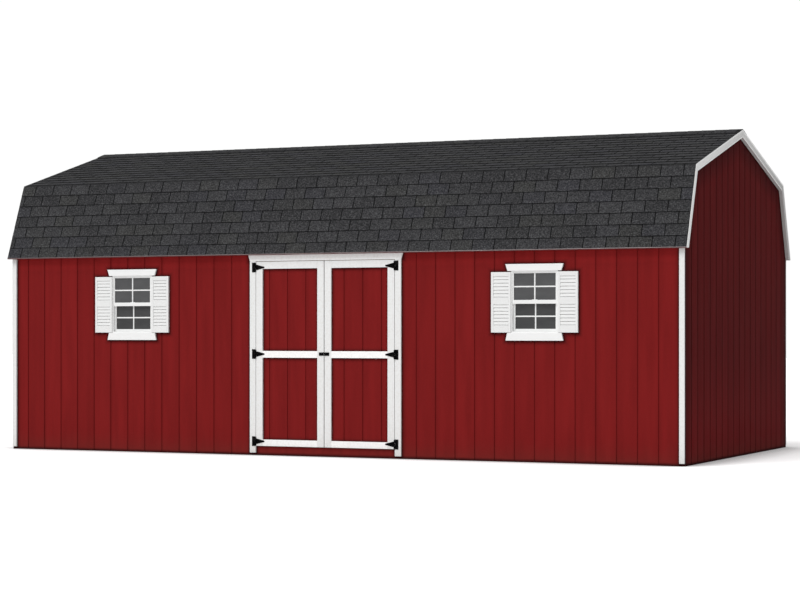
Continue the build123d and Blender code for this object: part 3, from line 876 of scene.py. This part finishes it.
def paneBoxes(side):
    # The upper and the lower pane, from the loose parts of the glass node
    mesh = frame["nodes"][f"{side}_window_glass"].data
    middle = sum((v.co.z for v in mesh.vertices), 0.0) / len(mesh.vertices)
    boxes = []
    for upper in (True, False):
        points = [v.co for v in mesh.vertices if (v.co.z > middle) == upper]
        boxes.append([Vector([end(p[i] for p in points) for i in range(3)]) for end in (min, max)])
    return boxes


# Shutters

shutter = {
    "stile": 0.024,
    "topRail": 0.04,
    "middleRail": 0.068,
    "middleRailFoot": 0.266,
    "bottomRail": 0.07,
    "louvres": 6,
    "bladeGap": 0.003,
    "bladeThickness": 0.006,
    "bladeTilt": 8.0,
    "bladeDepth": 0.0075,
    "sheet": 0.004,
    "sheetMargin": 0.01,
}


def buildShutter(side, hand, finishes):
    low, high = corners(f"{side}_shutters")
    if hand < 0:
        high.x = low.x + shutterWidth(side)
    else:
        low.x = high.x - shutterWidth(side)
    name = f"{side}Shutter{'Left' if hand < 0 else 'Right'}"
    stile, margin = shutter["stile"], shutter["sheetMargin"]
    middleFoot = low.z + shutter["middleRailFoot"]
    rails = (
        (low.z, low.z + shutter["bottomRail"]),
        (middleFoot, middleFoot + shutter["middleRail"]),
        (high.z - shutter["topRail"], high.z),
    )
    bm = bmesh.new()
    addPanelFrame(bm, low, high, stile, rails)
    addBox(
        bm, (low.x + stile / 2, high.y - shutter["sheet"], low.z + margin),
        (high.x - stile / 2, high.y, high.z - margin),
    )
    frameWork = finishPiece(
        bm, f"{name}Frame", "root", [finishes["shutter"]], bevel=0.002
    )
    blades = bmesh.new()
    for below, above in zip(rails, rails[1:]):
        foot = below[1]
        pitch = (above[0] - foot) / shutter["louvres"]
        for index in range(shutter["louvres"]):
            height = foot + pitch * (index + 0.5) + shutter["bladeGap"] / 2
            place = Vector(((low.x + high.x) / 2, low.y + shutter["bladeDepth"], height))
            addBlade(blades, place, high.x - low.x - 2 * stile + 0.004, pitch - shutter["bladeGap"])
    finishPiece(blades, f"{name}Louvres", "root", [finishes["shutter"]], bevel=0.0018)
    return frameWork


def addBlade(bm, place, length, width):
    # A flat slat, its lower edge set forward to shed rain
    half = Vector((length / 2, shutter["bladeThickness"] / 2, width / 2))
    tilt = Matrix.Rotation(math.radians(-shutter["bladeTilt"]), 4, "X")
    addBox(bm, -half, half, Matrix.Translation(place) @ tilt)


def shutterWidth(side):
    mesh = frame["nodes"][f"{side}_shutters"].data
    low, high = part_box(f"{side}_shutters")
    middle = (low[0] + high[0]) / 2
    return max(v.co.x for v in mesh.vertices if v.co.x < middle) - low[0]


# Doors

door = {
    "stile": 0.072,
    "topRail": 0.072,
    "middleRail": 0.067,
    "middleRailMiddle": 1.0075,
    "bottomRail": 0.064,
    "railJoint": 0.0003,
}
iron = {
    "hingeHeights": (0.14, 1.01, 1.874),
    "plateHoles": ((-0.036, 0.0342), (-0.02, 0.0222), (0.02, 0.0222), (0.036, 0.0342)),
    "strapPlaces": (0.022, 0.05, 0.076),
    "latchHeight": 1.012,
    "latchPlaces": (0.006, 0.046),
    "latchRows": (-0.012, 0.012),
    "platesProud": 0.0033,
    "screwRadius": 0.0042,
    "screwHead": 0.0022,
    "recess": 0.0008,
}


def railSpans(low, high):
    # Foot and head of the three rails of a leaf
    middle = door["middleRailMiddle"]
    return (
        (low, low + door["bottomRail"]),
        (middle - door["middleRail"] / 2, middle + door["middleRail"] / 2),
        (high - door["topRail"], high),
    )


def buildLeaf(side, sign, finishes):
    body = f"{side}_door"
    runs = [(sign * place, siding["groove"]) for place in siding["leafGrooves"]]
    buildSiding(
        f"{side}DoorPanel", f"{side}_door_panel", body, Vector((0, -1, 0)), runs, finishes["leaf"]
    )
    low, high = corners(f"{side}_door_frame")
    stile = door["stile"]
    bm = bmesh.new()
    addPanelFrame(bm, low, high, stile, railSpans(low.z, high.z), door["railJoint"])
    for face in bm.faces:
        # The two lower rails catch more light than the top one, and take the lighter level paint:
        # painted light
        middle = face.calc_center_median()
        between = low.x + stile < middle.x < high.x - stile
        face.material_index = int(between and middle.z < high.z - stile)
    paints = [finishes["trim"], finishes["level"]]
    node = f"{side}_door_frame"
    finishPiece(bm, f"{side}DoorFrame", body, paints, [node], bevel=0.0015)
    dressed(f"{side}_door_hardware", f"{side}DoorIron", body, finishes["iron"], 0.0006)
    dressed(f"{side}_hinge_plates", f"{side}JambIron", "root", finishes["iron"], 0.0006)
    addScrews(side, sign, body, finishes)


def addScrew(bm, place):
    # A pan head with a round recess, pressed into its plate
    turned = Matrix.Rotation(math.radians(90), 4, "X")
    radius = iron["screwRadius"]
    head = bmesh.ops.create_cone(
        bm, cap_ends=True, segments=16, radius1=radius, radius2=radius * 0.72, depth=iron["screwHead"],
        matrix=Matrix.Translation(place) @ turned,
    )["verts"]
    top = min(facesOf(head), key=lambda face: face.calc_center_median().y)
    bmesh.ops.inset_region(bm, faces=[top], thickness=radius * 0.3, depth=-iron["recess"])


def addScrews(side, sign, body, finishes):
    # Places are measured from the hinge's axis, and on the latch from the leaf's free edge
    axisX = next(
        joint["pos_m"][0] for joint in frame["joints"] if joint["name"] == f"{side}_door_hinge"
    )
    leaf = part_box(f"{side}_door_frame")
    face = leaf[0][1] - iron["platesProud"]
    freeEdge = leaf[1 if sign < 0 else 0][0]
    fixed, moving = bmesh.new(), bmesh.new()
    for height in iron["hingeHeights"]:
        for row, across in iron["plateHoles"]:
            addScrew(fixed, (axisX + sign * across, face, height + row))
        for place in iron["strapPlaces"]:
            addScrew(moving, (axisX - sign * place, face, height))
    for place in iron["latchPlaces"]:
        for row in iron["latchRows"]:
            addScrew(moving, (freeEdge + sign * place, face, iron["latchHeight"] + row))
    finishPiece(fixed, f"{side}JambScrews", "root", [finishes["iron"]])
    finishPiece(moving, f"{side}DoorScrews", body, [finishes["iron"]])


# Roof

roof = {
    "tabWidth": 0.2232,
    "slot": 0.0095,
    "slotStart": 0.163,
    "leastTab": 0.01,
    "exposure": 0.12,
    "kneeCourse": 0.035,
    "kneeReach": 0.0025,
    "headLap": 0.026,
    "butt": 0.008,
    "headHeight": 0.0025,
    "tabThickness": 0.005,
    "underlay": 0.0012,
    "shadowLine": 0.008,
    "lowerRake": 0.062,
    "upperRake": 0.065,
    "rakeLip": 0.0015,
    "rakeLipHeight": 0.016,
    "bead": 0.011,
    "dripLip": 0.006,
}
ridgeCap = {
    "exposure": 0.14,
    "lap": 1.35,
    "width": 0.15,
    "thickness": 0.003,
    "folds": 8,
    "fold": 0.0006,
    "foldReach": 0.012,
    "droop": 0.004,
    "fall": 0.0025,
    # Alpha along a cap: it sets the cap's painted shade towards its head and the painted shadow line
    # where the next cap laps it
    "tone": 0.215,
    "shadeFade": 0.8,
}


def slopeLines(side):
    # Foot, knee and ridge of the sheathing's top on one side, in the YZ plane
    lines = []
    for node in ("lower_roof_deck", "upper_roof_deck"):
        mesh = frame["nodes"][node].data
        points = {(round(v.co.y, 5), round(v.co.z, 5)) for v in mesh.vertices if v.co.y * side > 0}
        lines.append(sorted(points, key=lambda point: point[1]))
    lower, upper = lines
    foot = max(lower[:2], key=lambda point: point[0] * side)
    knee = max(lower[2:], key=lambda point: point[1])
    ridge = max(upper, key=lambda point: point[1])
    return [Vector((0, *foot)), Vector((0, *knee)), Vector((0, 0, ridge[1]))]


def slopePlace(start, end, side):
    # Sets what is built flat on a slope: Y runs up it from its start, and Z stands on it
    upSlope = (end - start).normalized()
    normal = Vector((0, upSlope.z, -upSlope.y)) * side
    turn = Matrix(((1, 0, 0), (0, upSlope.y, normal.y), (0, upSlope.z, normal.z))).to_4x4()
    return Matrix.Translation(start) @ turn


def buildShingles(side, label, material):
    print("shingles", label)
    foot, knee, ridge = slopeLines(side)
    low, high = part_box("shingles_front")
    reach = (low[0] + roof["rakeLip"], high[0] - roof["rakeLip"])
    over = roof["kneeReach"]
    slopes = (
        (foot, knee, 0.0, (roof["dripLip"], (knee - foot).length + over)),
        (knee, ridge, roof["kneeCourse"] - roof["exposure"], (-over, (ridge - knee).length)),
    )
    bm = bmesh.new()
    tones = bm.loops.layers.float_color.new("tabTone")
    course = 0
    for start, end, butt, ends in slopes:
        place = slopePlace(start, end, side)
        length = (end - start).length
        underlay = addBox(
            bm, (reach[0] + 0.002, 0, 0), (reach[1] - 0.002, length, roof["underlay"]), place
        )
        paint(tones, underlay, (0.0, 0.0, 0.0, 0.0))
        while butt < length - 0.02:
            addCourse(bm, tones, butt, reach, ends, low[0] + courseStart(course), place)
            butt += roof["exposure"]
            course += 1
        # The slope above starts with the course that the knee cuts off
        course -= 1
    node = f"shingles_{label.lower()}"
    finishPiece(bm, f"shingles{label}", "root", [material], [node])


def courseStart(course):
    # Every other course is set over by half a tab
    return roof["slotStart"] - roof["tabWidth"] * (1 + 0.5 * (course % 2))


def addCourse(bm, tones, butt, reach, ends, first, place):
    tabLeft = first + roof["slot"] / 2
    while tabLeft < reach[1] - roof["leastTab"]:
        near = max(tabLeft, reach[0])
        far = min(tabLeft + roof["tabWidth"] - roof["slot"], reach[1])
        if far - near > roof["leastTab"]:
            addTab(bm, tones, (near, far), butt, ends, place)
        tabLeft += roof["tabWidth"]


def addTab(bm, tones, across, butt, ends, place):
    # A wedge: thick at its butt, its head tucked under the course above, cut off where the slope ends
    sag = random.uniform(-0.0006, 0.0008)
    length = roof["exposure"] + roof["headLap"]
    foot = max(butt + random.uniform(-0.0012, 0.0012), ends[0])
    head = min(butt + length, ends[1])
    verts = addBox(bm, (across[0], foot, 0), (across[1], head, roof["butt"]))
    topVerts = {vert for vert in verts if vert.co.z > roof["butt"] / 2}
    lift = {}
    for vert in verts:
        lift[vert] = min(max((vert.co.y - butt) / length, 0.0), 1.0)
        thick = roof["butt"] + (roof["headHeight"] - roof["butt"]) * lift[vert]
        if vert in topVerts:
            vert.co.z = thick + sag * (1 - lift[vert])
        else:
            vert.co.z = max(thick - roof["tabThickness"], 0.0)
    bmesh.ops.transform(bm, matrix=place, verts=verts)
    tone = (random.random(), random.random(), random.random())
    paint(tones, verts, (*tone, 0.0))
    top = next(face for face in facesOf(verts) if set(face.verts) == topVerts)
    for loop in top.loops:
        loop[tones] = (*tone, 0.1 + 0.9 * lift[loop.vert])


def paint(tones, verts, colour):
    for face in facesOf(verts):
        for loop in face.loops:
            loop[tones] = colour


def buildDripLips(material):
    # The drip edge's face below the first course on both eaves
    low, high = corners("shingles_front")
    near = (low.x + roof["rakeLip"], 0, 0.0015)
    far = (high.x - roof["rakeLip"], roof["dripLip"] - 0.0005, roof["butt"] - 0.001)
    bm = bmesh.new()
    for side in (-1, 1):
        foot, knee = slopeLines(side)[:2]
        addBox(bm, near, far, slopePlace(foot, knee, side))
    finishPiece(bm, "dripLips", "root", [material])


def buildRakes(side, finishes):
    # The boards' undersides have a darker coat of their own: painted shade
    name = f"rakeBoards{side.capitalize()}"
    boards = dressed(f"rake_trim_{side}", name, "root", finishes["rake"], 0.0012)
    boards.data.materials.append(finishes["undersideShade"])
    for polygon in boards.data.polygons:
        if abs(polygon.normal.x) < 0.5 and polygon.normal.z < 0.1:
            polygon.material_index = 1


def buildRakeLips(side, sign, material):
    # Bent metal over the ends of the courses, and a bead along the foot of the upper boards
    low, high = corners("shingles_front")
    outer = high.x if sign > 0 else low.x
    near, far = sorted((outer, outer - sign * roof["rakeLip"]))
    top = roof["butt"] - 0.0005
    board = roof["upperRake"]
    bm = bmesh.new()
    for slope in (-1, 1):
        foot, knee, ridge = slopeLines(slope)
        for start, end in ((foot, knee), (knee, ridge)):
            lip = (far, (end - start).length, top)
            addBox(bm, (near, 0, top - roof["rakeLipHeight"]), lip, slopePlace(start, end, slope))
        tuck = board * math.tan((knee - foot).angle(ridge - knee) / 2)
        upSlope = (ridge - knee).normalized()
        head = (ridge - knee).length - board * abs(upSlope.z / upSlope.y)
        place = slopePlace(knee, ridge, slope)
        addBox(bm, (near, tuck, -board), (far, head, roof["bead"] - board), place)
    finishPiece(bm, f"rakeLips{side.capitalize()}", "root", [material])


def buildRidgeCap(material):
    # Folded caps laid along the ridge, each lapping the one before
    low, high = corners("ridge_cap")
    knee, ridge = slopeLines(1)[1:]
    pitch = math.atan2(ridge.z - knee.z, knee.y)
    bm = bmesh.new()
    tones = bm.loops.layers.float_color.new("tabTone")
    count = round((high.x - low.x) / ridgeCap["exposure"])
    step = (high.x - low.x) / count
    for index in range(count):
        sheet = bmesh.ops.create_grid(bm, x_segments=1, y_segments=ridgeCap["folds"], size=0.5)["verts"]
        start = low.x + step * index
        reach = min(step * ridgeCap["lap"], high.x - start)
        faces = list(facesOf(sheet))
        for vert in sheet:
            across = vert.co.y * 2 * ridgeCap["width"] * math.cos(pitch)
            forward = vert.co.x + 0.5
            fold = ridgeCap["fold"] * math.exp(-abs(across) / ridgeCap["foldReach"])
            rounding = fold + ridgeCap["droop"] * (2 * vert.co.y) ** 2
            height = high.z - abs(across) * math.tan(pitch) - rounding - ridgeCap["fall"] * forward
            vert.co = (start + forward * reach, across, height)
        bmesh.ops.solidify(bm, geom=faces, thickness=ridgeCap["thickness"])
        tone = (0.0, random.random(), random.random())
        # Painted shade along each cap, and a painted shadow line where the next cap laps it
        for loop in {loop for vert in connected(sheet[0]) for loop in vert.link_loops}:
            forward = (loop.vert.co.x - start) / reach
            loop[tones] = (*tone, ridgeCap["tone"] + ridgeCap["shadeFade"] * forward)
    finishPiece(bm, "ridgeCap", "root", [material], ["ridge_cap"])


def connected(vert):
    seen = {vert}
    queue = [vert]
    while queue:
        for edge in queue.pop().link_edges:
            for other in edge.verts:
                if other not in seen:
                    seen.add(other)
                    queue.append(other)
    return list(seen)


# Everything together

addCamera()
addLights()
bpy.context.scene.view_settings.view_transform = "Standard"
print("camera and light placed")

addFloor(makeFloorPaint())
sidingBack = makeLumber("sidingBack", sidingBackTones, (40, 40, 6), 0.0)
longCare = (redPaint["longGloss"], redPaint["longEdgeShade"])
gableCare = (redPaint["gableGloss"], redPaint["gableEdgeShade"])
longPaint = makeRedPaint(
    "redPaintLongWalls", redPaint["longWalls"], "X", siding["longWallStart"], 0.0, *longCare,
    paintedLightLongWall,
)
# The gables take the shaded copy of the red: painted shade
shadedGablePaint = makeRedPaint(
    "redPaintGablesShaded", redPaint["shadedGables"], "Y", siding["gableStart"], 40.0, *gableCare, paintedLightGable
)
leafPaint = makeRedPaint(
    "redPaintLeaves", redPaint["leaves"], "X", siding["leafStart"], 90.0, *longCare, paintedShadeLeaf
)
finishes = {
    "long": [longPaint, sidingBack],
    "gable": [shadedGablePaint, sidingBack],
    "leaf": [leafPaint, sidingBack],
    "trim": makeWhitePaint("whiteTrimPaint", uprightGrain, whitePaint["colour"]),
    "level": makeWhitePaint("whiteLevelLitPaint", levelGrain, whitePaint["litColour"]),
    "rake": makeWhitePaint(
        "whiteRakePaint", levelGrain, whitePaint["rakeFrontLit"], whitePaint["rakeBackShaded"]
    ),
    "undersideShade": makeWhitePaint("soffitShadePaint", levelGrain, whitePaint["undersideShade"]),
    "stone": makeShingleStone(),
    "iron": makeBlackIron(),
    "window": makeVinyl("windowVinyl", (0.85, 0.855, 0.85)),
    "shutter": makeVinyl("shutterVinyl", (0.79, 0.795, 0.79)),
    "drip": makeVinyl("dripMetal", (0.14, 0.1, 0.098)),
    # The eave's drip edge in a dark red: painted shade under the eave
    "eave": makeVinyl("eaveBoardShadePaint", (0.1, 0.007, 0.0072)),
    "lip": makeVinyl("lipMetal", (0.95, 0.95, 0.945)),
}
print("finishes made")

buildWalls(finishes)
print("walls boarded")
for side, sign in sides:
    buildLeaf(side, sign, finishes)
    buildWindow(side, finishes)
    shutterPieces = [buildShutter(side, hand, finishes) for hand in (-1, 1)]
    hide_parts(f"{side}_shutters")
for node, name, finish in (
    ("corner_trim_front", "cornerBoardsFront", "trim"),
    ("corner_trim_rear", "cornerBoardsRear", "trim"),
    ("jamb_trim_left", "jambBoardLeft", "trim"),
    ("jamb_trim_right", "jambBoardRight", "trim"),
    # The header board takes the lighter level paint: painted light
    ("header_trim", "headerBoard", "level"),
):
    dressed(node, name, "root", finishes[finish], 0.0015)
# The eave trim takes the dark red of painted shade
dressed("eave_trim", "dripEdges", "root", finishes["eave"], 0.0008)
buildDripLips(finishes["drip"])
for side, sign in sides:
    buildRakes(side, finishes)
    buildRakeLips(side, sign, finishes["lip"])
print("trim dressed")
buildShingles(-1, "Front", finishes["stone"])
buildShingles(1, "Rear", finishes["stone"])
buildRidgeCap(finishes["stone"])
print("roof laid")

uprightLumber = makeLumber("uprightLumber", pine, (70, 70, 1.8), 1.0)
longLumber = makeLumber("longLumber", pine, (1.8, 70, 70), 1.0)
crossLumber = makeLumber("crossLumber", pine, (70, 1.8, 70), 1.0)
uprights = (
    "front_studs", "rear_studs", "gable_studs_left", "gable_studs_right", "door_stops", "lower_rafters"
)
cadFinishes = (
    (uprightLumber, uprights),
    (longLumber, ("wall_plates", "window_framing", "door_header", "ridge_board")),
    (crossLumber, ("floor_frame", "upper_rafters")),
    (makeLumber("floorPlywood", plywood, (3.0, 45, 45), 0.6), ("floor_deck",)),
    (makeStrandBoard(), ("knee_gussets", "lower_roof_deck", "upper_roof_deck")),
    (makeGlass(), ("left_window_glass", "right_window_glass")),
)
for material, nodes in cadFinishes:
    for node in nodes:
        piece = frame["nodes"][node]
        piece.data.materials.clear()
        piece.data.materials.append(material)
print("frame finished")
